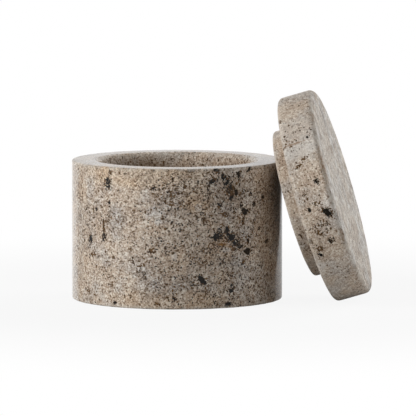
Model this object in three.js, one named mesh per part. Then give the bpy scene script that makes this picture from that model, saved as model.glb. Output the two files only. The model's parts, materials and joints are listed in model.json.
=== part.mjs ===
// Stone salt and pepper jar: a thick-walled turned pot and its loose lid. The lid is off: it
// stands on the table on its edge and leans its spigot against the pot's rim.
// Millimetres, +Z up. The origin is the centre of the pot's base.
import * as THREE from 'three';

// Pot
const JAR_DIAMETER = 90;
const JAR_HEIGHT = 59.5;
const WALL = 11.5;
const FLOOR = 12;
const JAR_EDGE = 0.6; // rounding of the pot's outer edges
const MOUTH_EDGE = 2.2; // rounding of the rim's inner edge
const WELL_FILLET = 4; // rounding between the well's side and its floor

// Lid
const PLATE_THICKNESS = 15.5;
const LID_TOP_EDGE = 2.3; // rounding of the plate's top edge
const LID_LOWER_EDGE = 1.75; // rounding of the plate's lower edge
const SPIGOT_HEIGHT = 6;
const SPIGOT_CLEARANCE = 1.5; // all round, between the spigot and the mouth
const SPIGOT_EDGE = 1; // rounding of the spigot's edge
const SHOULDER_FILLET = 0.6; // rounding where the spigot meets the plate

// How the lid leans
const LEAN_ANGLE = THREE.MathUtils.degToRad(16.5); // from upright
const LEAN_TURN = THREE.MathUtils.degToRad(6); // towards the front, about the pot's axis
const LEAN_SIDE = 2.5; // how far the lid's middle stands in front of where it touches the pot
const LEAN_GAP = 0.3; // between the spigot's face and the pot's rim

// Fineness of the turned surfaces
const TURN_STEPS = 80; // a multiple of four, so that the lid stands on a corner of its outline
const ARC_STEPS = 2; // each rounding gets twice as many spans

const JAR_RADIUS = JAR_DIAMETER / 2;
const WELL_RADIUS = JAR_RADIUS - WALL;
const PLATE_RADIUS = JAR_RADIUS; // flush with the pot's side when the jar is closed
const SPIGOT_RADIUS = WELL_RADIUS - SPIGOT_CLEARANCE;
const QUARTER = Math.PI / 2;

const jarStone = new THREE.MeshStandardMaterial({
  name: 'jar_stone',
  color: 0xb3a596,
  roughness: 0.3,
  metalness: 0,
});

const lidStone = new THREE.MeshStandardMaterial({
  name: 'lid_stone',
  color: 0xbdb2a6,
  roughness: 0.3,
  metalness: 0,
});

// Half section of the pot: out along the base, up the side, over the rim and down the well.
function jarProfile() {
  const profile = new THREE.Path();
  profile.moveTo(0, 0);
  profile.lineTo(JAR_RADIUS - JAR_EDGE, 0);
  profile.absarc(JAR_RADIUS - JAR_EDGE, JAR_EDGE, JAR_EDGE, -QUARTER, 0);
  profile.absarc(JAR_RADIUS - JAR_EDGE, JAR_HEIGHT - JAR_EDGE, JAR_EDGE, 0, QUARTER);
  profile.absarc(WELL_RADIUS + MOUTH_EDGE, JAR_HEIGHT - MOUTH_EDGE, MOUTH_EDGE, QUARTER, 2 * QUARTER);
  profile.absarc(WELL_RADIUS - WELL_FILLET, FLOOR + WELL_FILLET, WELL_FILLET, 0, -QUARTER, true);
  profile.lineTo(0, FLOOR);
  return profile;
}

// Half section of the lid, with its seat on the rim at height 0: out along the spigot's face,
// up its side to the shoulder, and round the plate to the middle of its top.
function lidProfile() {
  const profile = new THREE.Path();
  profile.moveTo(0, -SPIGOT_HEIGHT);
  profile.lineTo(SPIGOT_RADIUS - SPIGOT_EDGE, -SPIGOT_HEIGHT);
  profile.absarc(SPIGOT_RADIUS - SPIGOT_EDGE, SPIGOT_EDGE - SPIGOT_HEIGHT, SPIGOT_EDGE, -QUARTER, 0);
  profile.absarc(
    SPIGOT_RADIUS + SHOULDER_FILLET, -SHOULDER_FILLET, SHOULDER_FILLET, 2 * QUARTER, QUARTER, true);
  profile.absarc(PLATE_RADIUS - LID_LOWER_EDGE, LID_LOWER_EDGE, LID_LOWER_EDGE, -QUARTER, 0);
  profile.absarc(PLATE_RADIUS - LID_TOP_EDGE, PLATE_THICKNESS - LID_TOP_EDGE, LID_TOP_EDGE, 0, QUARTER);
  profile.lineTo(0, PLATE_THICKNESS);
  return profile;
}

// A solid turned about +Z from its half section.
function turned(profile) {
  return new THREE.LatheGeometry(profile.getPoints(ARC_STEPS), TURN_STEPS).rotateX(QUARTER);
}

// Where the middle of the lid's seat lies when the plate's lower edge stands on the table and
// the spigot's face leans on the pot's rounded rim: its distance from the pot's axis and its height.
function leaningPlace() {
  const sin = Math.sin(LEAN_ANGLE);
  const cos = Math.cos(LEAN_ANGLE);
  const height = LID_LOWER_EDGE + (PLATE_RADIUS - LID_LOWER_EDGE) * cos - LID_LOWER_EDGE * sin;
  const rimReach = (JAR_RADIUS - JAR_EDGE) * cos + (JAR_HEIGHT - JAR_EDGE) * sin + JAR_EDGE;
  const seatReach = rimReach + LEAN_GAP + SPIGOT_HEIGHT;
  return { distance: (seatReach - height * sin) / cos, height };
}

const jar = new THREE.Mesh(turned(jarProfile()), jarStone);
jar.name = 'jar';

const place = leaningPlace();
const lid = new THREE.Mesh(turned(lidProfile()), lidStone);
lid.name = 'lid';
lid.position.set(place.distance, -LEAN_SIDE, place.height);
lid.rotation.y = QUARTER - LEAN_ANGLE;

const leaning = new THREE.Group();
leaning.rotation.z = -LEAN_TURN;
leaning.add(lid);

const group = new THREE.Group();
group.add(jar, leaning);

export default group;
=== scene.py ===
# %% [markdown]
# # A polished stone jar with its lid off
# The object is two turned pieces of one grey-beige stone: a thick pot for salt or pepper and a
# loose lid that stands on its edge and leans on the pot's rim. The imported model already holds
# both pieces at their real size, so it is loaded first and nothing is fitted afterwards. Its box
# is kept.

# %% Load the imported frame
import json
import math
import random

import bmesh
import bpy
from mathutils import Matrix, Vector, kdtree, noise

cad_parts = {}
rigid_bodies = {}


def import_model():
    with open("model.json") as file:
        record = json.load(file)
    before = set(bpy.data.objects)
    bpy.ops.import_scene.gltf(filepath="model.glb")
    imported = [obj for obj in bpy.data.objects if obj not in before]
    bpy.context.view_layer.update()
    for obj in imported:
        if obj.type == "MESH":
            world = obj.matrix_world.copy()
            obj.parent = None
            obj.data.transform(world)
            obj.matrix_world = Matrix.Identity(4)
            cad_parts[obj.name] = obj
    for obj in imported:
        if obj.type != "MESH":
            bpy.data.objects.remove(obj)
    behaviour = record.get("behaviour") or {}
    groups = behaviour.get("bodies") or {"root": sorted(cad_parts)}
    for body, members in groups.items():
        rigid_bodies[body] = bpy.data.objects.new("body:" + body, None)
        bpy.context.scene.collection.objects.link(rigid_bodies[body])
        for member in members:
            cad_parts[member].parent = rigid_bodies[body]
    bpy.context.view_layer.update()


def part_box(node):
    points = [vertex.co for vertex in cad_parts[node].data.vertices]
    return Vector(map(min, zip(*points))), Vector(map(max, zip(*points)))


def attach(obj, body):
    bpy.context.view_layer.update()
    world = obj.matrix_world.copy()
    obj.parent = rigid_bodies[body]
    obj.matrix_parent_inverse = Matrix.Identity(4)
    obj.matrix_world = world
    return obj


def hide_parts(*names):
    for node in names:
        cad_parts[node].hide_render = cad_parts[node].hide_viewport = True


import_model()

# %% [markdown]
# ## Sizes
# The pot's radius and height come from the frame. The rest are the sizes that a turner would
# write on a drawing, in millimetres: walls, roundings, the spigot, and how the lid leans.

# %% Sizes of the two pieces
MM = 0.001

jar_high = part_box("jar")[1]
JAR_RADIUS = jar_high.x
JAR_HEIGHT = jar_high.z
WALL = 11.5 * MM
FLOOR = 12 * MM
WELL_RADIUS = JAR_RADIUS - WALL
PLATE_THICKNESS = 15.5 * MM
PLATE_INSET = 0.04 * MM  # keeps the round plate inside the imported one, whose outline has flat sides
PLATE_RADIUS = JAR_RADIUS - PLATE_INSET
SPIGOT_HEIGHT = 6 * MM
SPIGOT_CLEARANCE = 1.5 * MM
SPIGOT_RADIUS = WELL_RADIUS - SPIGOT_CLEARANCE
JAR_EDGE = 0.6 * MM
MOUTH_EDGE = 2.2 * MM
WELL_FILLET = 4.0 * MM
LID_TOP_EDGE = 2.3 * MM
LID_LOWER_EDGE = 1.75 * MM
SPIGOT_EDGE = 1.0 * MM
SHOULDER_FILLET = 0.6 * MM
LEAN_ANGLE = math.radians(16.5)
LEAN_TURN = math.radians(6)
LEAN_SIDE = 2.5 * MM
LEAN_GAP = 0.3 * MM
print(f"pot {2 * JAR_RADIUS / MM:.1f} x {JAR_HEIGHT / MM:.1f} mm, mouth {2 * WELL_RADIUS / MM:.1f} mm")

# %% [markdown]
# ## The camera
# The picture was taken from far away with a long lens, a little above the rim, so the sides look
# almost parallel. The distance and the lens are set so that the pot fills the same part of the
# square frame as it does in the photograph.

# %% Camera
CAMERA_PLACE = Vector((0.02305, -2.4, 0.28349))
CAMERA_DOWN = 0.10173  # radians below the horizon
CAMERA_ASIDE = -0.00409  # radians to the right of +Y
CAMERA_LENS = 487.37  # mm
SENSOR_WIDTH = 36  # mm

camera_data = bpy.data.cameras.new("camera")
camera_data.sensor_width = SENSOR_WIDTH
camera_data.lens = CAMERA_LENS
camera = bpy.data.objects.new("camera", camera_data)
camera.location = CAMERA_PLACE
camera.rotation_euler = (math.pi / 2 - CAMERA_DOWN, 0, -CAMERA_ASIDE)
bpy.context.scene.collection.objects.link(camera)
bpy.context.scene.camera = camera
print(f"camera {CAMERA_PLACE.length:.2f} m away")

# %% [markdown]
# ## Turning a section
# Both pieces come off a lathe, so each is drawn as a half section and spun about its axis. A
# section is a list of corners, each with its rounding. Points are bunched up next to every
# rounding: the long flat runs need none, while the edges need many so that they can be worn.

# %% Half sections
ROUND_SPANS = 7
BESIDE_EDGE = [step * MM for step in (0.3, 0.7, 1.3, 2.2, 4.0)]


def rounded(before, corner, after, radius):
    """Points of a rounding that replaces a square corner."""
    back = (before - corner).normalized()
    on = (after - corner).normalized()
    middle = corner + (back + on) * radius
    turns = [math.pi / 2 * i / ROUND_SPANS for i in range(ROUND_SPANS + 1)]
    return [middle - radius * (on * math.cos(t) + back * math.sin(t)) for t in turns]


def run_between(start, end):
    """Points inside a straight run, bunched up towards both of its ends."""
    length = (end - start).length
    steps = [step for step in BESIDE_EDGE if step < length / 2]
    places = steps + [length - step for step in reversed(steps)]
    return [start.lerp(end, place / length) for place in places]


def section(corners):
    """The half section's points (radius, height) from corners given as (radius, height, rounding)."""
    spots = [Vector(corner[:2]) for corner in corners]
    bends = [[spots[0]]]
    for i in range(1, len(corners) - 1):
        bends.append(rounded(spots[i - 1], spots[i], spots[i + 1], corners[i][2]))
    bends.append([spots[-1]])
    points = list(bends[0])
    for last, bend in zip(bends, bends[1:]):
        points += run_between(last[-1], bend[0]) + bend
    return points


JAR_CORNERS = [
    (0, 0, 0),
    (JAR_RADIUS, 0, JAR_EDGE),
    (JAR_RADIUS, JAR_HEIGHT, JAR_EDGE),
    (WELL_RADIUS, JAR_HEIGHT, MOUTH_EDGE),
    (WELL_RADIUS, FLOOR, WELL_FILLET),
    (0, FLOOR, 0),
]
LID_CORNERS = [
    (0, -SPIGOT_HEIGHT, 0),
    (SPIGOT_RADIUS, -SPIGOT_HEIGHT, SPIGOT_EDGE),
    (SPIGOT_RADIUS, 0, SHOULDER_FILLET),
    (PLATE_RADIUS, 0, LID_LOWER_EDGE),
    (PLATE_RADIUS, PLATE_THICKNESS, LID_TOP_EDGE),
    (0, PLATE_THICKNESS, 0),
]
print("section points:", len(section(JAR_CORNERS)), "pot,", len(section(LID_CORNERS)), "lid")

# %% [markdown]
# ## Worn edges
# A polished stone edge is never a perfect curve. It is rubbed a little unevenly all along, and
# here and there a grain has broken out and left a shallow shell-shaped chip. The unevenness is
# noise that pushes edge points inwards. A chip is made as it happens: whatever lies inside a
# small ball placed on the edge moves out to the ball's skin, which is a cut into the stone.

# %% Wear and chips
TURN_STEPS = 600
RUB_DEPTH = 0.12 * MM
RUB_LENGTH = 5 * MM
RUB_REACH = 2.4 * MM
CHIP_BALL = (0.7 * MM, 1.6 * MM)
CHIP_DEPTH = (0.08 * MM, 0.30 * MM)


def rub_edges(bm, edges, edge_layer):
    """Rubs the stone unevenly along its edges, and keeps each point's nearness to an edge."""
    bm.normal_update()
    for vert in bm.verts:
        radius = math.hypot(vert.co.x, vert.co.y)
        gap = min(math.hypot(radius - edge.x, vert.co.z - edge.y) for edge in edges)
        near = max(0.0, 1 - gap / RUB_REACH)
        vert[edge_layer] = near
        if near > 0:
            uneven = 0.5 + 0.5 * noise.noise(vert.co / RUB_LENGTH)
            vert.co -= vert.normal * RUB_DEPTH * uneven * near


def chip_edges(bm, edges, count, seed):
    """Breaks small shell-shaped chips out of the edges."""
    draw = random.Random(seed)
    bm.verts.ensure_lookup_table()
    tree = kdtree.KDTree(len(bm.verts))
    for vert in bm.verts:
        tree.insert(vert.co, vert.index)
    tree.balance()
    for _ in range(count):
        edge, outward = draw.choice(edges)
        turn = draw.uniform(0, 2 * math.pi)
        ball = draw.uniform(*CHIP_BALL)
        depth = draw.uniform(*CHIP_DEPTH)
        spoke = Vector((math.cos(turn), math.sin(turn), 0))
        skin = spoke * edge.x + Vector((0, 0, edge.y))
        away = spoke * outward.x + Vector((0, 0, outward.y))
        middle = skin + away * (ball - depth)
        for _, index, _ in tree.find_range(middle, ball):
            vert = bm.verts[index]
            offset = vert.co - middle
            if offset.length < ball:
                vert.co = middle + offset.normalized() * ball


def worn_edges(corners, picks):
    """The rounded edges to wear: for each picked corner, the middle of its rounding and the way out."""
    found = []
    for pick in picks:
        before, corner, after = (Vector(corners[pick + step][:2]) for step in (-1, 0, 1))
        arc = rounded(before, corner, after, corners[pick][2])
        centre = (before - corner).normalized() + (after - corner).normalized()
        found.append((arc[len(arc) // 2], -centre.normalized()))
    return found


print("rubbed by up to", RUB_DEPTH / MM, "mm, chips up to", CHIP_DEPTH[1] / MM, "mm deep")

# %% [markdown]
# ## Making a piece
# The spun body keeps each point's place on the piece as it was turned, in millimetres, in an
# attribute called stone_place, and its nearness to an edge in one called stone_edge. The stone's
# pattern reads them, so the grain runs through the piece as through a real block and stays with
# it however the piece is put down.

# %% Turn a piece
def lathe(bm, points):
    """Spins a half section that starts and ends on the axis into a closed body."""
    ends = [bm.verts.new((0, 0, points[pick].y)) for pick in (0, -1)]
    rings = []
    for step in range(TURN_STEPS):
        turn = 2 * math.pi * step / TURN_STEPS
        cos, sin = math.cos(turn), math.sin(turn)
        rings.append([bm.verts.new((p.x * cos, p.x * sin, p.y)) for p in points[1:-1]])
    for ring, after in zip(rings, rings[1:] + rings[:1]):
        bm.faces.new((ends[0], after[0], ring[0]))
        bm.faces.new((ends[1], ring[-1], after[-1]))
        for low, high, high_after, low_after in zip(ring, ring[1:], after[1:], after):
            bm.faces.new((low, low_after, high_after, high))
    bm.verts.index_update()


def turned_piece(name, corners, edge_picks, chips, seed, placed):
    """A worn, turned stone piece, made on its own axis and then placed."""
    bm = bmesh.new()
    place_layer = bm.verts.layers.float_vector.new("stone_place")
    edge_layer = bm.verts.layers.float.new("stone_edge")
    lathe(bm, section(corners))
    edges = worn_edges(corners, edge_picks)
    rub_edges(bm, [edge for edge, _ in edges], edge_layer)
    chip_edges(bm, edges, chips, seed)
    for vert in bm.verts:
        vert[place_layer] = vert.co / MM
        vert.co = placed @ vert.co
    for face in bm.faces:
        face.smooth = True
    mesh = bpy.data.meshes.new(name)
    bm.to_mesh(mesh)
    bm.free()
    piece = bpy.data.objects.new(name, mesh)
    bpy.context.scene.collection.objects.link(piece)
    print(name, len(mesh.vertices), "points,", len(mesh.polygons), "faces")
    return piece


# %% [markdown]
# ## The pot
# The pot is a bored block: a flat base, an upright side, a flat rim and a deep well. It replaces
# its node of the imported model, which stays behind it for collisions.

# %% Pot
jar = turned_piece("turned_jar", JAR_CORNERS, (1, 2, 3), chips=70, seed=5, placed=Matrix.Identity(4))
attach(jar, "jar")
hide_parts("jar")

# %% [markdown]
# ## The leaning lid
# The lid's plate stands on the table on its lower edge, and its spigot leans on the rounded rim.
# The place follows from that contact: the plate's rounding touches the table, and the spigot's
# face stays a hair away from the rim.

# %% Lid
def leaning_matrix():
    """Puts a lid that was turned about +Z where it leans on the pot."""
    sin, cos = math.sin(LEAN_ANGLE), math.cos(LEAN_ANGLE)
    height = LID_LOWER_EDGE + (JAR_RADIUS - LID_LOWER_EDGE) * cos - LID_LOWER_EDGE * sin
    rim_reach = (JAR_RADIUS - JAR_EDGE) * cos + (JAR_HEIGHT - JAR_EDGE) * sin + JAR_EDGE
    distance = (rim_reach + LEAN_GAP + SPIGOT_HEIGHT - height * sin) / cos
    turn = Matrix.Rotation(-LEAN_TURN, 4, "Z")
    lean = Matrix.Rotation(math.pi / 2 - LEAN_ANGLE, 4, "Y")
    return turn @ Matrix.Translation((distance, -LEAN_SIDE, height)) @ lean


lid = turned_piece("turned_lid", LID_CORNERS, (1, 3, 4), chips=60, seed=8, placed=leaning_matrix())
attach(lid, "lid")
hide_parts("lid")

# %% [markdown]
# ## Wiring helpers
# The stone is made of many small node networks. These helpers add one node, feed its sockets
# with values or with other nodes' outputs, and give back the output that matters.

# %% Node helpers
def feed(tree, socket, value):
    """Sets a socket, or links it if the value is another node's output."""
    if isinstance(value, bpy.types.NodeSocket):
        tree.links.new(value, socket)
    else:
        socket.default_value = value


def add(tree, kind, feeds=None, **settings):
    """Adds a node with its settings, and feeds its named sockets."""
    node = tree.nodes.new(kind)
    for key, value in settings.items():
        setattr(node, key, value)
    for key, value in (feeds or {}).items():
        feed(tree, node.inputs[key], value)
    return node


def calc(tree, operation, *values):
    """A Math node's result."""
    node = add(tree, "ShaderNodeMath", operation=operation)
    for socket, value in zip(node.inputs, values):
        feed(tree, socket, value)
    return node.outputs[0]


def vector_calc(tree, operation, *values, result="Vector"):
    """A Vector Math node's result."""
    node = add(tree, "ShaderNodeVectorMath", operation=operation)
    for socket, value in zip(node.inputs, values):
        feed(tree, socket, value)
    return node.outputs[result]


def rise(tree, value, low, high):
    """0 up to low and 1 from high on, with a smooth rise between. Low may be the larger one."""
    ends = {"Value": value, "From Min": low, "From Max": high}
    return add(tree, "ShaderNodeMapRange", ends, interpolation_type="SMOOTHSTEP").outputs["Result"]


def mixed(tree, share, first, second, way="MIX"):
    """A mix of two colours, through the Mix node's colour sockets."""
    node = add(tree, "ShaderNodeMix", data_type="RGBA", blend_type=way)
    for socket, value in zip((node.inputs[0], node.inputs[6], node.inputs[7]), (share, first, second)):
        feed(tree, socket, value)
    return node.outputs[2]


def clouds(tree, place, size, detail=2.0, roughness=0.55):
    """Noise whose lumps are about this many millimetres across: its value and its colour."""
    values = {"Vector": place, "Scale": 1 / size, "Detail": detail, "Roughness": roughness}
    node = add(tree, "ShaderNodeTexNoise", values)
    return node.outputs[0], node.outputs[1]


def new_group(name, inputs, outputs):
    """An empty node group with named sockets: its tree, its inputs and its output node."""
    tree = bpy.data.node_groups.new(name, "ShaderNodeTree")
    for label, kind in inputs:
        tree.interface.new_socket(label, in_out="INPUT", socket_type="NodeSocket" + kind)
    for label, kind in outputs:
        tree.interface.new_socket(label, in_out="OUTPUT", socket_type="NodeSocket" + kind)
    return tree, add(tree, "NodeGroupInput").outputs, add(tree, "NodeGroupOutput").inputs


def use_group(tree, group, feeds):
    """Places a group in a material and returns its outputs."""
    return add(tree, "ShaderNodeGroup", feeds, node_tree=group).outputs


print("helpers ready")

# %% [markdown]
# ## The body of the stone
# Under a loupe the stone is a tight mass of crystals, each under a millimetre: mostly beige and
# grey, some cream, a few brown. A Voronoi texture gives every crystal a random value of its own, and
# a colour ramp turns the values into minerals. Two sizes of crystal are mixed. Lumps of a few
# millimetres and slow clouds make some areas paler, warmer or greyer, as in the ground.

# %% Crystals
CRYSTAL = (0.66, 0.66, 0.66)  # mm
FINE_CRYSTAL = (0.42, 0.42, 0.42)
CRYSTAL_BEND = (0.9, 0.5)  # mm: lumps of the noise that bends the crystals' sides, and its reach
MINERALS = [
    (0.00, (0.080, 0.055, 0.036)),
    (0.20, (0.200, 0.155, 0.115)),
    (0.42, (0.350, 0.295, 0.245)),
    (0.58, (0.430, 0.370, 0.315)),
    (0.80, (0.570, 0.515, 0.455)),
    (1.00, (0.730, 0.695, 0.640)),
]


def colour_ramp(tree, value, stops):
    """A colour ramp through these (place, colour) stops."""
    node = add(tree, "ShaderNodeValToRGB", {"Fac": value})
    ramp = node.color_ramp
    while len(ramp.elements) < len(stops):
        ramp.elements.new(0.5)
    for element, (place, colour) in zip(ramp.elements, stops):
        element.position = place
        element.color = (*colour, 1)
    return node.outputs["Color"]


def crystals(tree, place, size):
    """Three random values for each crystal of about this size in millimetres."""
    spaced = vector_calc(tree, "DIVIDE", place, size)
    cells = add(tree, "ShaderNodeTexVoronoi", {"Vector": spaced, "Scale": 1.0})
    return add(tree, "ShaderNodeSeparateColor", {"Color": cells.outputs["Color"]}).outputs


def bent(tree, place, size, reach):
    """The place pushed about by noise, so that shapes drawn from it get ragged."""
    push = vector_calc(tree, "SUBTRACT", clouds(tree, place, size, detail=3)[1], (0.5, 0.5, 0.5))
    return vector_calc(tree, "MULTIPLY_ADD", push, (reach, reach, reach), place)


print("minerals:", len(MINERALS))

# %% [markdown]
# ## From crystals to colour
# A node group adds it all up. The two sizes of crystal give each spot a tone, lumps and clouds shift
# it, and the ramp turns it into a mineral's colour. A last slow noise leans areas to warm or cool.

# %% Stone body group
LUMP = 3.2  # mm
CLOUD = 15
CLOUD_SHARE = 0.5
HUE_CLOUD = 10.5
HUE_SHIFT = (40, 7, 13)
HUE_SPLIT = (0.36, 0.60)  # noise at which the hue is fully cool, and fully warm
WARM_VEIL = (0.58, 0.42, 0.27, 1)
WARM_SHARE = 0.30
COOL_VEIL = (0.47, 0.46, 0.46, 1)
COOL_SHARE = 0.25


def make_body_group():
    """Crystals, lumps and clouds, as a colour, the tone that it came from, and the clouds."""
    tree, inputs, outputs = new_group(
        "stone_body",
        [("Place", "Vector"), ("Shift", "Vector"), ("Lift", "Float"), ("Contrast", "Float"),
         ("Lumps", "Float")],
        [("Colour", "Color"), ("Tone", "Float"), ("Cloud", "Float")],
    )
    place = vector_calc(tree, "ADD", inputs["Place"], inputs["Shift"])
    ragged = bent(tree, place, *CRYSTAL_BEND)
    large = crystals(tree, ragged, CRYSTAL)[0]
    small = crystals(tree, ragged, FINE_CRYSTAL)[0]
    grain = calc(tree, "SUBTRACT", calc(tree, "ADD", large, small), 1.0)
    tone = calc(tree, "MULTIPLY_ADD", grain, inputs["Contrast"], inputs["Lift"])
    lumps = calc(tree, "SUBTRACT", clouds(tree, place, LUMP, detail=3)[0], 0.5)
    tone = calc(tree, "MULTIPLY_ADD", lumps, inputs["Lumps"], tone)
    cloud = clouds(tree, place, CLOUD, detail=4)[0]
    tone = calc(tree, "MULTIPLY_ADD", calc(tree, "SUBTRACT", cloud, 0.5), CLOUD_SHARE, tone)
    colour = colour_ramp(tree, tone, MINERALS)
    warm = mixed(tree, WARM_SHARE, colour, WARM_VEIL, "OVERLAY")
    cool = mixed(tree, COOL_SHARE, colour, COOL_VEIL, "OVERLAY")
    hue = clouds(tree, vector_calc(tree, "ADD", place, HUE_SHIFT), HUE_CLOUD, detail=4)[0]
    feed(tree, outputs["Colour"], mixed(tree, rise(tree, hue, *HUE_SPLIT), cool, warm))
    feed(tree, outputs["Tone"], tone)
    feed(tree, outputs["Cloud"], cloud)
    return tree


stone_body = make_body_group()
print("stone_body:", len(stone_body.nodes), "nodes")

# %% [markdown]
# ## Grains of other minerals
# Brown and black grains sit among the pale ones, alone and in clusters. Each crystal draws a random
# number, and turns if the number is below a chance. A small chance everywhere gives single grains.
# Where the chance grows towards one, the grains close up into a cluster with a broken fringe.

# %% Grains group
GRAIN_SIDE = 0.03  # softness of a grain's outline, as a share of the draw


def make_grains_group():
    """Grains that turn where the chance is high enough: their mask, and a random shade for each."""
    tree, inputs, outputs = new_group(
        "grains",
        [("Place", "Vector"), ("Size", "Vector"), ("Shift", "Vector"), ("Chance", "Float")],
        [("Mask", "Float"), ("Shade", "Float")],
    )
    place = vector_calc(tree, "ADD", inputs["Place"], inputs["Shift"])
    draws = crystals(tree, place, inputs["Size"])
    lead = calc(tree, "SUBTRACT", inputs["Chance"], draws[0])
    feed(tree, outputs["Mask"], rise(tree, lead, -GRAIN_SIDE, GRAIN_SIDE))
    feed(tree, outputs["Shade"], draws[1])
    return tree


grains = make_grains_group()
print("grains:", len(grains.nodes), "nodes")

# %% [markdown]
# ## Single inclusions
# The dark crystals that give this block its face are placed one by one. Each is a soft ellipsoid
# inside the stone, so it is cut by the surface like a real one. Its place is given the way it is
# read from the piece: degrees round from the front, millimetres up, then width, length, tilt and
# strength. The group gives a core and a wider fringe, and passes on whatever came before it.

# %% Inclusion group
CORE_REACH = (1.30, 0.60)  # in half sizes from the middle: where it starts, and where it is full
FRINGE_REACH = (2.00, 0.70)


def make_inclusion_group():
    """A soft ellipsoid joined to those before it."""
    tree, inputs, outputs = new_group(
        "inclusion",
        [("Place", "Vector"), ("Centre", "Vector"), ("Across", "Vector"), ("Along", "Vector"),
         ("Inward", "Vector"), ("Strength", "Float"), ("Core Before", "Float"), ("Fringe Before", "Float")],
        [("Core", "Float"), ("Fringe", "Float")],
    )
    offset = vector_calc(tree, "SUBTRACT", inputs["Place"], inputs["Centre"])
    parts = [vector_calc(tree, "DOT_PRODUCT", offset, inputs[way], result="Value")
             for way in ("Across", "Along", "Inward")]
    shrunk = add(tree, "ShaderNodeCombineXYZ", dict(zip("XYZ", parts))).outputs[0]
    far = vector_calc(tree, "LENGTH", shrunk, result="Value")
    for label, reach in (("Core", CORE_REACH), ("Fringe", FRINGE_REACH)):
        near = calc(tree, "MULTIPLY", rise(tree, far, *reach), inputs["Strength"])
        feed(tree, outputs[label], calc(tree, "MAXIMUM", near, inputs[label + " Before"]))
    return tree


inclusion = make_inclusion_group()
print("inclusion:", len(inclusion.nodes), "nodes")

# %% [markdown]
# ## Rows of inclusions
# One row of numbers stands for one inclusion. This function turns a row into a place on the piece's
# side and the ways across, along and into it. It chains the groups, so that any number of rows
# ends in one core and one fringe.

# %% Inclusions from rows
SIDE_RADIUS = JAR_RADIUS / MM  # of the pot's side, and of the lid's plate


def inclusion_fields(tree, place, spots):
    """The joint core and fringe of the inclusions in these rows."""
    core = 0.0
    fringe = 0.0
    for degrees, height, width, length, tilt, strength in spots:
        turn = math.radians(degrees)
        out = Vector((math.sin(turn), -math.cos(turn), 0))
        round_way = Vector((math.cos(turn), math.sin(turn), 0))
        lean = math.radians(tilt)
        across = round_way * math.cos(lean) + Vector((0, 0, math.sin(lean)))
        along = Vector((0, 0, math.cos(lean))) - round_way * math.sin(lean)
        feeds = {
            "Place": place,
            "Centre": out * SIDE_RADIUS + Vector((0, 0, height)),
            "Across": across / (width / 2),
            "Along": along / (length / 2),
            "Inward": out / ((width + length) / 4),
            "Strength": strength,
            "Core Before": core,
            "Fringe Before": fringe,
        }
        made = use_group(tree, inclusion, feeds)
        core = made["Core"]
        fringe = made["Fringe"]
    return core, fringe


print("inclusions lie on a side of radius", round(SIDE_RADIUS, 1), "mm")

# %% [markdown]
# ## Polish
# The stone is polished but not to a mirror: the crystals take the polish unevenly, and a few pits
# stay open. The group gives the roughness and a height for the pits and the crystals' faint relief.

# %% Polish group
POLISH_PATCH = 5  # mm
POLISH_SPLIT = (0.3, 0.7)  # noise at which the polish is finest, and roughest
TONE_ON_POLISH = 0.25
TONE_ON_HEIGHT = 0.18
PIT_SPACING = 2.2  # mm
PIT_SIDE = (0.08, 0.30)  # mm from a pit's middle to its foot and to its rim
PIT_CHANCE = (0.14, 0.18)  # draws up to which a pit is open, and from which it is closed


def make_polish_group():
    """Uneven roughness between two values, and a height with pits and faint crystals."""
    tree, inputs, outputs = new_group(
        "polish",
        [("Place", "Vector"), ("Tone", "Float"), ("Smooth", "Float"), ("Rough", "Float")],
        [("Roughness", "Float"), ("Height", "Float")],
    )
    patches = clouds(tree, inputs["Place"], POLISH_PATCH, detail=4)[0]
    tone = calc(tree, "SUBTRACT", inputs["Tone"], 0.5)
    uneven = calc(tree, "MULTIPLY_ADD", tone, TONE_ON_POLISH, patches)
    span = calc(tree, "SUBTRACT", inputs["Rough"], inputs["Smooth"])
    share = rise(tree, uneven, *POLISH_SPLIT)
    feed(tree, outputs["Roughness"], calc(tree, "MULTIPLY_ADD", share, span, inputs["Smooth"]))
    pits = add(tree, "ShaderNodeTexVoronoi", {"Vector": inputs["Place"], "Scale": 1 / PIT_SPACING})
    chance = add(tree, "ShaderNodeSeparateColor", {"Color": pits.outputs["Color"]}).outputs[1]
    hole = rise(tree, calc(tree, "MULTIPLY", pits.outputs["Distance"], PIT_SPACING), *PIT_SIDE)
    closed = calc(tree, "MAXIMUM", hole, rise(tree, chance, *PIT_CHANCE))
    feed(tree, outputs["Height"], calc(tree, "MULTIPLY_ADD", inputs["Tone"], TONE_ON_HEIGHT, closed))
    return tree


polish = make_polish_group()
print("polish:", len(polish.nodes), "nodes")

# %% [markdown]
# ## Wear and painted highlight along the edges
# Edges are touched and knocked more than faces, so their grains are bruised: paler and duller. The
# mesh knows how near each point is to an edge, and noise breaks the wear up so that it comes and goes.
# The paleness also stands in for the highlight that the rounded edges catch: a painted highlight.

# %% Edge wear group
WEAR_PATCH = 3.5  # mm
WEAR_NEAR = (0.30, 0.95)  # nearness to an edge at which wear starts, and is full
WEAR_BREAK = (0.36, 0.62)  # noise at which a patch starts, and is full


def make_wear_group():
    """How worn the stone is: high along the edges, in patches."""
    tree, inputs, outputs = new_group(
        "edge_wear", [("Place", "Vector"), ("Edge", "Float")], [("Wear", "Float")])
    uneven = clouds(tree, inputs["Place"], WEAR_PATCH, detail=5, roughness=0.65)[0]
    patches = rise(tree, uneven, *WEAR_BREAK)
    near = rise(tree, inputs["Edge"], *WEAR_NEAR)
    feed(tree, outputs["Wear"], calc(tree, "MULTIPLY", near, patches))
    return tree


edge_wear = make_wear_group()
print("edge_wear:", len(edge_wear.nodes), "nodes")
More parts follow.
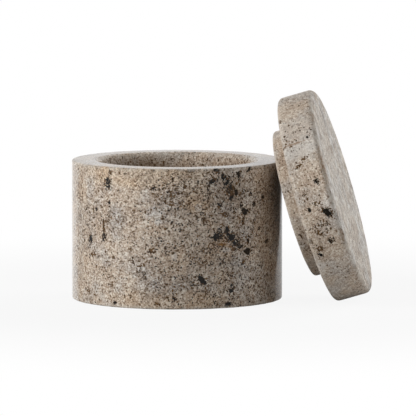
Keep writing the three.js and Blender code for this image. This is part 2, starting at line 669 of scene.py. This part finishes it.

# %% [markdown]
# ## What lies in the stone, and painted shade
# Pot and lid are cut from one kind of stone, so the same steps colour both. What differs is what each
# block happened to hold. Soft stains come first: the multiplied ones darken, cool or warm the crystals
# and keep their contrast, while quartz and ochre cover them. One darkening row on the pot is painted
# shade, where the lid shades the pot's right side. Brown grains come next, with more of them round
# every black one, and black last. Down the pot's well the colour is darker and browner below its
# mouth: that is painted shade.

# %% Stains, grains and painted well shade
# a darkening tint: for darker patches of stone, and for painted shade where the lid shades the pot
DARK_TINT_AND_PAINTED_SHADE = (0.540, 0.485, 0.430, 1)
COOL = (0.890, 0.938, 1.000, 1)
WARM = (1.000, 0.900, 0.770, 1)
QUARTZ = (0.640, 0.605, 0.560, 1)
OCHRE = (0.230, 0.115, 0.036, 1)
BROWN = (0.150, 0.082, 0.034, 1)
DEEP_BROWN = (0.040, 0.024, 0.013, 1)
BLACK = (0.008, 0.006, 0.004, 1)
# colour of the painted shade down the pot's well
PAINTED_WELL_SHADE = (0.560, 0.480, 0.400, 1)
BROWN_SIZE = (0.60, 0.60, 0.60)  # mm
BLACK_SIZE = (0.52, 0.52, 0.52)
BROWN_SHIFT = (31, 5, 17)  # mm, so that brown and black grains lie apart
BLACK_SHIFT = (2, 47, 9)
STRAY_BROWN = 0.09  # chance of a single brown grain where the stone is dark
STRAY_SPLIT = (0.62, 0.38)  # from pale clouds, with no stray grains, to dark ones
STRAY_BLACK = 0.006  # chance of a single black grain anywhere
BROWN_ROUND_BLACK = 0.5  # chance of a brown grain in the fringe of a black inclusion
LOOSE_BLACK = 0.15  # chance of a black grain in that fringe
BLACK_FILL = 0.72  # how much the core adds to that chance
WELL_SHADE_SKIN = (0.8, 0.1)  # mm outside and inside the well's side
WELL_SHADE_DEPTH = (1.5, 8.0)  # mm below the rim


def stained_and_shaded(tree, colour, ragged, stains):
    """The crystals' colour under soft stains, and under painted shade where a row stands for shade."""
    for tint, way, spots in stains:
        core, _ = inclusion_fields(tree, ragged, spots)
        colour = mixed(tree, core, colour, tint, way)
    return colour


def with_dark_grains(tree, colour, ragged, cloud, brown, black):
    """The colour with brown grains, and with black ones over them."""
    brown_core, _ = inclusion_fields(tree, ragged, brown)
    black_core, black_fringe = inclusion_fields(tree, ragged, black)
    stray = calc(tree, "MULTIPLY", rise(tree, cloud, *STRAY_SPLIT), STRAY_BROWN)
    near_black = calc(tree, "MULTIPLY", black_fringe, BROWN_ROUND_BLACK)
    chance = calc(tree, "ADD", calc(tree, "MAXIMUM", brown_core, near_black), stray)
    feeds = {"Place": ragged, "Size": BROWN_SIZE, "Shift": BROWN_SHIFT, "Chance": chance}
    made = use_group(tree, grains, feeds)
    colour = mixed(tree, made["Mask"], colour, mixed(tree, made["Shade"], BROWN, DEEP_BROWN))
    loose = calc(tree, "MULTIPLY_ADD", black_fringe, LOOSE_BLACK, STRAY_BLACK)
    chance = calc(tree, "MULTIPLY_ADD", black_core, BLACK_FILL, loose)
    feeds = {"Place": ragged, "Size": BLACK_SIZE, "Shift": BLACK_SHIFT, "Chance": chance}
    return mixed(tree, use_group(tree, grains, feeds)["Mask"], colour, BLACK)


def with_painted_well_shade(tree, colour, place, height, look):
    """The colour, darker and browner down the well: painted shade."""
    aside = vector_calc(tree, "LENGTH", vector_calc(tree, "MULTIPLY", place, (1, 1, 0)), result="Value")
    inside = rise(tree, aside, WELL_RADIUS / MM + WELL_SHADE_SKIN[0], WELL_RADIUS / MM - WELL_SHADE_SKIN[1])
    deep = rise(tree, height, look["top"] - WELL_SHADE_DEPTH[0], look["top"] - WELL_SHADE_DEPTH[1])
    painted_well_shade_share = calc(tree, "MULTIPLY", calc(tree, "MULTIPLY", inside, deep), look["painted well shade"])
    return mixed(tree, painted_well_shade_share, colour, PAINTED_WELL_SHADE, "MULTIPLY")


print("stain tints:", DARK_TINT_AND_PAINTED_SHADE[:3], COOL[:3], WARM[:3])

# %% [markdown]
# ## The material
# One function wires the groups into a material. A look holds what differs between the pieces: which
# part of the endless stone is cut, how pale and lively it is, how finely it is polished, how the
# top differs from the side, and how much painted shade lies down the well. The lid is honed where
# the pot is polished, and its top has stronger lumps. The lid's top is also painted paler and
# cooler: a painted sheen of the white backdrop that it faces.

# %% Stone material
GRAIN_BEND = (1.4, 1.3)  # mm: lumps of the noise that makes the grains ragged, and its reach
LUMPS = 0.45  # how strongly the lumps show on the sides
TOP_SKIN = (1.2, 0.2)  # mm below the top: where it starts to differ, and where it does so fully
# pale colour of bruised edges, and also a painted highlight along them
BRUISE_AND_PAINTED_HIGHLIGHT = (0.600, 0.560, 0.500, 1)
WEAR_PALE_AND_HIGHLIGHT = 0.45
WEAR_DULL = 0.15
RELIEF = 0.1 * MM


def stone_material(name, look, stains, brown, black):
    """Grey-beige stone with what its own block held."""
    material = bpy.data.materials.new(name)
    material.use_nodes = True
    tree = material.node_tree
    tree.nodes.clear()
    place = add(tree, "ShaderNodeAttribute", attribute_name="stone_place").outputs["Vector"]
    edge = add(tree, "ShaderNodeAttribute", attribute_name="stone_edge").outputs["Fac"]
    height = add(tree, "ShaderNodeSeparateXYZ", {"Vector": place}).outputs["Z"]
    ragged = bent(tree, place, *GRAIN_BEND)
    on_top = rise(tree, height, look["top"] - TOP_SKIN[0], look["top"] - TOP_SKIN[1])
    feeds = {"Place": place, "Shift": look["shift"], "Contrast": look["contrast"]}
    # a top painted paler and cooler is a painted sheen of the white backdrop
    feeds["Lift"] = calc(tree, "MULTIPLY_ADD", on_top, look["top painted pale sheen"], look["lift"])
    feeds["Lumps"] = calc(tree, "MULTIPLY_ADD", on_top, look["top lumps"] - LUMPS, LUMPS)
    body = use_group(tree, stone_body, feeds)
    top_sheen_share = calc(tree, "MULTIPLY", on_top, look["top painted cool sheen"])
    colour = mixed(tree, top_sheen_share, body["Colour"], COOL, "MULTIPLY")
    colour = stained_and_shaded(tree, colour, ragged, stains)
    colour = with_dark_grains(tree, colour, ragged, body["Cloud"], brown, black)
    # painted shade down the pot's well
    colour = with_painted_well_shade(tree, colour, place, height, look)
    wear = use_group(tree, edge_wear, {"Place": place, "Edge": edge})["Wear"]
    # paler along the edges: bruised stone, and a painted highlight on the roundings
    colour = mixed(tree, calc(tree, "MULTIPLY", wear, WEAR_PALE_AND_HIGHLIGHT), colour, BRUISE_AND_PAINTED_HIGHLIGHT)
    smooth, rough = look["polish"]
    feeds = {"Place": place, "Tone": body["Tone"], "Smooth": smooth, "Rough": rough}
    finish = use_group(tree, polish, feeds)
    feeds = {"Strength": look["relief"], "Distance": RELIEF, "Height": finish["Height"]}
    bump = add(tree, "ShaderNodeBump", feeds)
    dull = calc(tree, "MULTIPLY_ADD", wear, WEAR_DULL, finish["Roughness"])
    feeds = {"Base Color": colour, "Roughness": dull, "Normal": bump.outputs["Normal"]}
    shader = add(tree, "ShaderNodeBsdfPrincipled", feeds)
    shader.inputs["Specular IOR Level"].default_value = look["specular"]
    output = add(tree, "ShaderNodeOutputMaterial")
    tree.links.new(shader.outputs[0], output.inputs["Surface"])
    print(name, len(tree.nodes), "nodes")
    return material


# %% [markdown]
# ## What the pot's block held
# A long scatter of black grains runs down the right of the front, with one rusty patch in it. The
# left has a few tall dark grains, and one slanted black crystal lies low on the front. The very wide
# rows of brown and black only raise the number of single grains. The back, from about 80 to 280
# degrees, is made up in the same style. The darkening row at 68 degrees is painted shade, where the
# lid shades the pot's right side. Each row is degrees from the front, height, width, length, tilt
# and strength.

# %% Pot's stone
# darker patches of stone, except the row at 68 degrees, which is painted shade cast by the lid
JAR_DARK_TINT_AND_PAINTED_SHADE = [
    (9, 24.0, 42, 60, 0, 0.28), (30, 50.0, 16, 14, 0, 0.50), (68, 34.0, 28, 84, 0, 0.80),
    (130, 30.0, 40, 60, 0, 0.35), (222, 22.0, 50, 40, 0, 0.35),
]
JAR_COOL = [
    (21, 48.0, 9, 12, 0, 0.9), (28, 40.0, 16, 10, 0, 0.8), (36, 30.0, 10, 14, 0, 0.8),
    (37, 21.0, 9, 8, 0, 0.8), (-6, 14.0, 22, 18, 0, 0.8), (-36, 36.0, 10, 16, 0, 0.5),
    (-14, 44.0, 14, 10, 0, 0.5), (95, 24.0, 20, 20, 0, 0.7), (160, 42.0, 24, 20, 0, 0.7),
    (240, 40.0, 16, 24, 0, 0.7),
]
JAR_WARM = [
    (-20, 57.0, 70, 12, 0, 0.8), (12, 48.0, 14, 16, 0, 0.7), (10, 26.0, 34, 34, 0, 0.40),
    (-64, 30.0, 14, 60, 0, 0.35), (0, 4.0, 60, 10, 0, 0.5), (110, 46.0, 40, 24, 0, 0.6),
    (200, 20.0, 50, 24, 0, 0.6), (265, 40.0, 30, 40, 0, 0.6),
]
JAR_QUARTZ = [
    (-9.7, 37.1, 3.0, 2.8, 0, 0.75), (-1, 22.8, 3.0, 3.6, 0, 0.50), (27.8, 25.0, 4.2, 2.2, 0, 0.60),
    (12, 43.0, 3.0, 3.0, 0, 0.45), (33, 28.6, 2.0, 1.8, 0, 0.50),
]
JAR_OCHRE = [(25.6, 27.2, 3.6, 1.3, 0, 1.0), (31, 25.8, 4.0, 0.9, -15, 0.8), (29, 32.0, 1.4, 1.2, 0, 0.7)]
JAR_BROWN = [
    (-45, 30.0, 60, 80, 0, 0.05), (18, 32.0, 56, 80, 0, 0.10),
    (-38, 57.2, 1.8, 3.0, 20, 0.9), (-43, 33.5, 1.4, 8.0, 0, 0.8), (-52, 21.5, 4.5, 2.4, 0, 0.6),
    (-3, 50.0, 9.0, 12.0, 0, 0.30), (7.5, 58.7, 4.2, 1.6, 0, 0.9), (31, 49.5, 5.5, 5.5, 0, 0.85),
    (27.6, 39.7, 3.6, 3.0, 0, 0.8), (39, 36.0, 1.8, 5.0, 0, 0.7), (25, 35.0, 2.6, 2.0, 0, 0.7),
    (-7, 38.5, 1.8, 1.5, 0, 0.9), (-13, 24.6, 4.0, 3.2, -20, 0.8), (-20, 18.7, 4.0, 2.4, 0, 0.6),
    (-25, 25.0, 1.8, 1.8, 0, 0.8), (-56, 5.6, 3.2, 2.6, 0, 0.8), (-10, 2.2, 2.6, 1.8, 0, 0.8),
    (27, 22.0, 2.4, 1.8, 0, 0.8), (26, 20.0, 1.8, 1.6, 0, 0.8), (39, 19.3, 2.0, 1.8, 0, 0.8),
    (16, 8.0, 1.4, 2.4, 0, 0.8), (15.5, 37.0, 2.4, 3.4, 0, 0.7), (5, 52.0, 2.4, 1.8, 0, 0.8),
    (33, 24.8, 2.4, 1.4, 0, 0.9), (-31, 19.0, 2.6, 2.0, 0, 0.5), (-36, 21.0, 2.2, 2.0, 0, 0.5),
    (100, 30.0, 70, 80, 0, 0.06), (180, 30.0, 70, 80, 0, 0.06), (260, 30.0, 70, 80, 0, 0.06),
    (88, 40.0, 5.0, 5.0, 0, 0.7), (120, 46.0, 6.0, 8.0, 0, 0.4), (144, 28.0, 6.0, 5.0, 0, 0.6),
    (170, 16.0, 5.0, 4.0, 0, 0.6), (195, 44.0, 6.0, 5.0, 0, 0.6), (212, 33.0, 3.0, 8.0, 0, 0.6),
    (234, 45.0, 5.0, 6.0, 0, 0.6), (250, 22.0, 4.0, 3.0, 0, 0.7), (280, 44.0, 3.0, 6.0, 0, 0.6),
]
JAR_BLACK = [
    (20, 30.0, 56, 80, 0, 0.095),
    (-40, 52.5, 3.2, 4.6, 10, 1.0), (-43, 29.2, 2.4, 4.4, 0, 0.9), (-54, 27.8, 2.2, 4.0, -15, 1.0),
    (-39, 44.5, 1.2, 1.2, 0, 1.0), (-49, 41.0, 1.3, 1.6, 0, 1.0), (-12, 51.0, 2.4, 2.2, 0, 0.8),
    (22, 58.8, 2.6, 1.8, 0, 1.0), (20, 54.0, 3.6, 1.8, 20, 0.9), (17.5, 50.0, 1.4, 5.0, 0, 0.8),
    (26, 55.5, 2.0, 3.2, 0, 1.0), (29, 52.5, 4.2, 5.2, 0, 0.75), (31, 46.7, 3.0, 1.8, 20, 1.0),
    (34, 49.0, 1.6, 3.0, 0, 0.9), (36, 56.3, 2.0, 3.6, 0, 0.9), (42, 57.6, 1.8, 1.6, 0, 0.9),
    (44, 59.0, 2.2, 2.2, 0, 1.0), (24, 44.0, 2.8, 1.2, -30, 1.0), (44.5, 47.8, 1.6, 2.2, 0, 1.0),
    (46.7, 43.3, 2.0, 1.8, 0, 1.0), (40, 40.6, 4.4, 2.6, 10, 1.0), (37.4, 43.5, 1.4, 3.2, 0, 0.9),
    (54, 45.8, 1.8, 2.0, 0, 0.8), (23, 31.0, 5.4, 3.2, 25, 1.0), (28.5, 33.0, 1.8, 3.4, 0, 0.9),
    (31, 30.2, 4.2, 3.4, 0, 0.95), (34.2, 27.8, 3.8, 3.2, 0, 1.0), (36.5, 26.0, 3.4, 1.8, 0, 1.0),
    (42, 23.3, 3.0, 3.2, 20, 1.0), (42.3, 28.6, 1.2, 4.5, 0, 0.8), (14.3, 12.2, 2.0, 5.4, 45, 1.2),
    (31.5, 8.5, 2.4, 4.2, 0, 0.8), (29, 1.6, 3.4, 2.0, 0, 1.0), (-35, 2.0, 2.4, 1.4, 0, 1.0),
    (-1, 4.5, 1.8, 1.8, 0, 0.9), (51, 33.0, 1.4, 1.6, 0, 0.9), (58, 26.5, 2.2, 2.0, 0, 0.9),
    (-2, 37.0, 1.2, 1.2, 0, 0.9), (84, 44.0, 3.0, 4.4, 10, 0.9), (97, 18.0, 4.5, 3.0, -20, 1.0),
    (112, 36.0, 2.0, 2.0, 0, 1.0), (126, 50.0, 3.0, 5.0, 0, 0.8), (141, 25.0, 5.0, 3.4, 30, 1.0),
    (148, 22.0, 2.4, 3.0, 0, 0.9), (163, 40.0, 1.6, 1.6, 0, 1.0), (178, 12.0, 3.2, 2.0, 15, 0.9),
    (192, 47.0, 4.0, 3.0, -30, 0.9), (200, 30.0, 1.8, 3.4, 0, 0.9), (215, 20.0, 2.6, 2.2, 0, 1.0),
    (231, 41.0, 3.4, 5.4, 10, 0.9), (238, 37.0, 2.0, 3.0, 0, 0.8), (256, 15.0, 2.2, 1.6, 0, 1.0),
    (270, 33.0, 1.5, 4.0, 0, 0.9),
]
JAR_STAINS_AND_PAINTED_SHADE = [
    (DARK_TINT_AND_PAINTED_SHADE, "MULTIPLY", JAR_DARK_TINT_AND_PAINTED_SHADE), (COOL, "MULTIPLY", JAR_COOL), (WARM, "MULTIPLY", JAR_WARM),
    (QUARTZ, "MIX", JAR_QUARTZ), (OCHRE, "MIX", JAR_OCHRE),
]
JAR_LOOK = {
    "shift": (3, 11, 29), "lift": 0.62, "contrast": 0.57, "polish": (0.06, 0.15), "relief": 0.25,
    "specular": 0.4, "painted well shade": 0.7,
    "top": JAR_HEIGHT / MM, "top lumps": LUMPS, "top painted pale sheen": 0.0, "top painted cool sheen": 0.0,
}
jar_stone = stone_material("jar_stone", JAR_LOOK, JAR_STAINS_AND_PAINTED_SHADE, JAR_BROWN, JAR_BLACK)
jar.data.materials.append(jar_stone)

# %% [markdown]
# ## What the lid's block held
# The lid is a little paler. A thin brown seam crosses its edge with a band of quartz below it, and
# the dark grains lie low down. Ochre has crept in along the plate's top edge. As on the pot, what
# lies at the back is made up.

# %% Lid's stone
# darker patches on the front of the lid's plate edge
LID_DARKER_PATCHES = [(20, 8.0, 22, 26, 0, 0.2), (46, 8.0, 18, 24, 0, 0.25)]
LID_QUARTZ = [
    (-31.5, 6.6, 6.0, 22.0, 0, 0.50), (-47, 7.0, 13.0, 22.0, 0, 0.35), (34.7, 2.0, 4.0, 3.6, 0, 0.5),
]
LID_OCHRE = [
    (20, 15.0, 9.0, 1.8, 0, 0.55), (-20, 15.0, 24.0, 1.2, 0, 0.45), (-52, 15.0, 14.0, 1.2, 0, 0.4),
    (-36.7, 4.5, 0.9, 12.0, 3, 0.6),
]
LID_BROWN = [
    (18.4, 1.0, 3.0, 2.2, 0, 0.9), (24, 4.0, 3.4, 2.6, 0, 0.8), (-26.7, 8.7, 1.6, 4.0, 20, 0.9),
    (-23, 5.0, 1.4, 4.0, 20, 0.7), (-55.7, 1.2, 3.0, 1.6, 0, 0.8), (0, 9.0, 6.0, 4.0, 0, 0.3),
    (12, 7.0, 8.0, 8.0, 0, 0.3), (104, 9.0, 4.0, 4.0, 0, 0.6), (140, 8.0, 6.0, 5.0, 0, 0.5),
    (185, 7.0, 5.0, 6.0, 0, 0.5), (235, 8.0, 4.0, 4.0, 0, 0.6),
]
LID_BLACK = [
    (5, 11.7, 4.4, 2.8, 35, 1.1), (1.2, 4.7, 1.4, 1.4, 0, 1.0), (27.5, 3.2, 1.4, 2.6, -40, 1.0),
    (21, 9.6, 2.2, 2.2, 0, 0.9), (-39, 11.5, 1.2, 1.2, 0, 1.0), (-12.7, 10.8, 2.4, 1.8, 0, 0.9),
    (-7, 4.2, 1.3, 1.3, 0, 0.8), (118, 10.0, 2.0, 3.0, 20, 0.9),
    (165, 5.0, 4.0, 3.0, 0, 0.9), (212, 9.0, 2.4, 2.0, 0, 1.0), (244, 6.0, 3.0, 4.0, 0, 0.9),
]
LID_STAINS = [(DARK_TINT_AND_PAINTED_SHADE, "MULTIPLY", LID_DARKER_PATCHES), (QUARTZ, "MIX", LID_QUARTZ), (OCHRE, "MIX", LID_OCHRE)]
# the lid's top is painted paler and cooler: painted sheen of the white backdrop
LID_LOOK = {
    "shift": (-21, 5, 8), "lift": 0.70, "contrast": 0.44, "polish": (0.38, 0.56), "relief": 0.8,
    "specular": 0.25, "painted well shade": 0.0,
    "top": PLATE_THICKNESS / MM, "top lumps": 2.2, "top painted pale sheen": 0.08, "top painted cool sheen": 0.7,
}
lid_stone = stone_material("lid_stone", LID_LOOK, LID_STAINS, LID_BROWN, LID_BLACK)
lid.data.materials.append(lid_stone)

# %% [markdown]
# ## Light
# One large soft lamp stands on the left, a little to the front and above the rim, so the pot is
# bright on its left and falls into shade towards the lid. A weaker lamp stands low in front: it opens
# the shade and lights the lid's edge, and hardly reaches into the well. One behind on the right
# lights the lid's face.
# The lamps are hidden from reflections: what the polish mirrors is the room, which the world gives.

# %% Lamps
AIM = Vector((0.02, 0, 0.035))


def soft_lamp(name, place, size, watts):
    """A square soft lamp aimed at the object."""
    data = bpy.data.lights.new(name, "AREA")
    data.shape = "SQUARE"
    data.size = size
    data.energy = watts
    lamp = bpy.data.objects.new(name, data)
    lamp.location = place
    lamp.rotation_euler = (AIM - Vector(place)).to_track_quat("-Z", "Y").to_euler()
    lamp.visible_glossy = False
    bpy.context.scene.collection.objects.link(lamp)


soft_lamp("side_lamp", (-1.18, -0.45, 0.62), 0.8, 18)
soft_lamp("front_lamp", (0.42, -1.22, 0.24), 0.4, 4.0)
soft_lamp("back_lamp", (0.90, 0.75, 0.55), 0.8, 13)

# %% [markdown]
# ## The room
# The backdrop behind the object is white and also gives some light. On the camera's side the room
# is dark. So the polish shows a white strip where a side turns away, and stays dark in front.

# %% World
FRONT_LEVEL = 0.04
BACK_LEVEL = 0.40
LEVEL_RISE = (0.1, 0.7)  # how far a direction points back
MIRROR_FRONT = 0.04
MIRROR_BACK = 0.82
BACKDROP_EDGE = (0.745, 0.785)  # cosines of the angle from straight back


def backdrop(tree, way):
    """1 where a level direction points at the white backdrop behind the object, else 0."""
    level = vector_calc(tree, "NORMALIZE", vector_calc(tree, "MULTIPLY", way, (1, 1, 0)))
    aim = add(tree, "ShaderNodeSeparateXYZ", {"Vector": level}).outputs["Y"]
    return rise(tree, aim, *BACKDROP_EDGE)


def make_world():
    """A studio that is white for the camera and lights the object from behind."""
    world = bpy.data.worlds.new("studio")
    world.use_nodes = True
    tree = world.node_tree
    tree.nodes.clear()
    way = add(tree, "ShaderNodeTexCoord").outputs["Generated"]
    depth = add(tree, "ShaderNodeSeparateXYZ", {"Vector": way}).outputs["Y"]
    ray = add(tree, "ShaderNodeLightPath").outputs
    share = rise(tree, depth, *LEVEL_RISE)
    lit = calc(tree, "MULTIPLY_ADD", share, BACK_LEVEL - FRONT_LEVEL, FRONT_LEVEL)
    mirrored = calc(tree, "MULTIPLY_ADD", backdrop(tree, way), MIRROR_BACK - MIRROR_FRONT, MIRROR_FRONT)
    glossy = calc(tree, "MULTIPLY", ray["Is Glossy Ray"], calc(tree, "SUBTRACT", mirrored, lit))
    shown = calc(tree, "MAXIMUM", ray["Is Camera Ray"], ray["Is Transmission Ray"])
    level = calc(tree, "MAXIMUM", calc(tree, "ADD", lit, glossy), shown)
    background = add(tree, "ShaderNodeBackground", {"Strength": level, "Color": (1, 1, 1, 1)})
    output = add(tree, "ShaderNodeOutputWorld")
    tree.links.new(background.outputs[0], output.inputs["Surface"])
    return world


bpy.context.scene.world = make_world()
bpy.context.scene.view_settings.view_transform = "Standard"
print("world levels:", FRONT_LEVEL, BACK_LEVEL)

# %% [markdown]
# ## The floor
# The jar stands on a white sheet. It is a plain white disc for the lamps, and for the camera it is
# mostly a white glow, so that only a faint shadow shows. Further out the glow takes over, and the
# sheet runs into the white background with no edge. The polish mirrors the sheet too. There it is
# white only behind the pot, measured from where each side turns away, and it is greyer on the
# right, where the lid stands in its light.

# %% Floor
FLOOR_RADIUS = 1.2  # m
FLOOR_SIDES = 96
SHADOW_NEAR = 0.10  # m from below the aim, up to which the shadow shows fully
SHADOW_FAR = 0.28  # m, from where it is gone
GLOW_NEAR = 0.90
SHEET = (0.55, 0.55, 0.55, 1)
SIDE_ACROSS = 0.042  # m from the pot's axis to the part of its side that mirrors the sheet
SIDE_FRONT = 0.016  # m that this part lies in front of the axis
LID_SIDE = 0.04  # m right of the pot's axis, where the lid shades the mirrored sheet fully
LID_SIDE_SHADE = 0.55


def mirrored_sheet(tree, spot):
    """How white the sheet is in the polish."""
    parts = add(tree, "ShaderNodeSeparateXYZ", {"Vector": spot}).outputs
    beyond = calc(tree, "SUBTRACT", calc(tree, "ABSOLUTE", parts["X"]), SIDE_ACROSS)
    across = calc(tree, "MAXIMUM", beyond, 0.0)
    back = calc(tree, "ADD", parts["Y"], SIDE_FRONT)
    way = add(tree, "ShaderNodeCombineXYZ", {"X": across, "Y": back}).outputs[0]
    shaded = calc(tree, "MULTIPLY_ADD", rise(tree, parts["X"], 0.0, LID_SIDE), -LID_SIDE_SHADE, 1.0)
    return calc(tree, "MULTIPLY", shaded, backdrop(tree, way))


def floor_material():
    """A white sheet that glows for the camera and keeps a faint shadow."""
    material = bpy.data.materials.new("white_sheet")
    material.use_nodes = True
    tree = material.node_tree
    tree.nodes.clear()
    spot = add(tree, "ShaderNodeNewGeometry").outputs["Position"]
    offset = vector_calc(tree, "SUBTRACT", spot, (AIM.x, AIM.y, 0))
    far = rise(tree, vector_calc(tree, "LENGTH", offset, result="Value"), SHADOW_NEAR, SHADOW_FAR)
    glow = calc(tree, "MULTIPLY_ADD", far, 1 - GLOW_NEAR, GLOW_NEAR)
    ray = add(tree, "ShaderNodeLightPath").outputs
    mirrored = calc(tree, "MULTIPLY", ray["Is Glossy Ray"], mirrored_sheet(tree, spot))
    shown = calc(tree, "MAXIMUM", ray["Is Camera Ray"], ray["Is Transmission Ray"])
    seen = calc(tree, "MAXIMUM", shown, mirrored)
    white = add(tree, "ShaderNodeBsdfDiffuse", {"Color": SHEET})
    light = add(tree, "ShaderNodeEmission", {"Color": (1, 1, 1, 1), "Strength": 1.0})
    sheet = add(tree, "ShaderNodeMixShader", {"Fac": calc(tree, "MULTIPLY", seen, glow)})
    tree.links.new(white.outputs[0], sheet.inputs[1])
    tree.links.new(light.outputs[0], sheet.inputs[2])
    output = add(tree, "ShaderNodeOutputMaterial")
    tree.links.new(sheet.outputs[0], output.inputs["Surface"])
    return material


def make_floor():
    """The round sheet on the table."""
    bm = bmesh.new()
    bmesh.ops.create_circle(bm, cap_ends=True, radius=FLOOR_RADIUS, segments=FLOOR_SIDES)
    mesh = bpy.data.meshes.new("floor")
    bm.to_mesh(mesh)
    bm.free()
    mesh.materials.append(floor_material())
    floor = bpy.data.objects.new("floor", mesh)
    bpy.context.scene.collection.objects.link(floor)
    return floor


make_floor()
print("floor", 2 * FLOOR_RADIUS, "m across")
